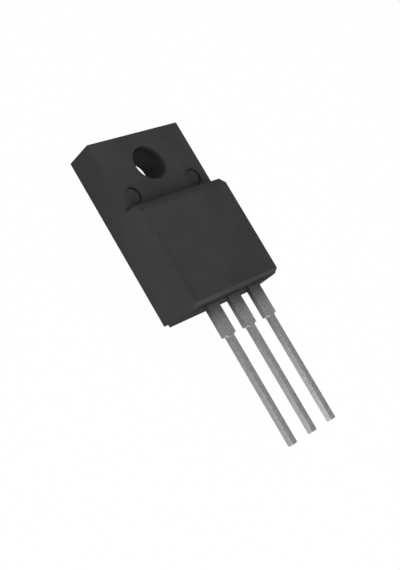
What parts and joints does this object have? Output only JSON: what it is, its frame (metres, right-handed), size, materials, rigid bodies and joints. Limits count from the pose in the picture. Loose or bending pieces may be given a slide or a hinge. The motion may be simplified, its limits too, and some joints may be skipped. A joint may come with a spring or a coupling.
{
  "type": "schottky diode",
  "caption": "Schottky diode in a fully moulded black power package: flat tab with a mounting hole, raised body with bevelled ends, and stepped tinned leads.",
  "frame": {"origin": "centre of the mounting hole at the back face of the moulding", "axes": "+Z out of the front face, along the hole; +Y from the leads to the free end of the tab; +X across the body, so that the left lead, seen from the front with the tab up, is on -X"},
  "size_m": [0.0104, 0.0284, 0.0044],
  "materials": {
    "black_epoxy": "matte moulded epoxy with a fine eroded texture",
    "tinned_copper": "satin tin plate with fine lengthwise drawing lines",
    "silicon": "sawn silicon with a metal top",
    "solder": "dull solder",
    "bond_aluminium": "bright drawn wire"
  },
  "bodies": {
    "root": {"moulded_body": "black_epoxy", "left_lead": "tinned_copper", "centre_lead": "tinned_copper", "right_lead": "tinned_copper", "left_die": "silicon", "right_die": "silicon", "left_die_solder": "solder", "right_die_solder": "solder", "left_bond_wire": "bond_aluminium", "right_bond_wire": "bond_aluminium"}
  },
  "joints": []
}
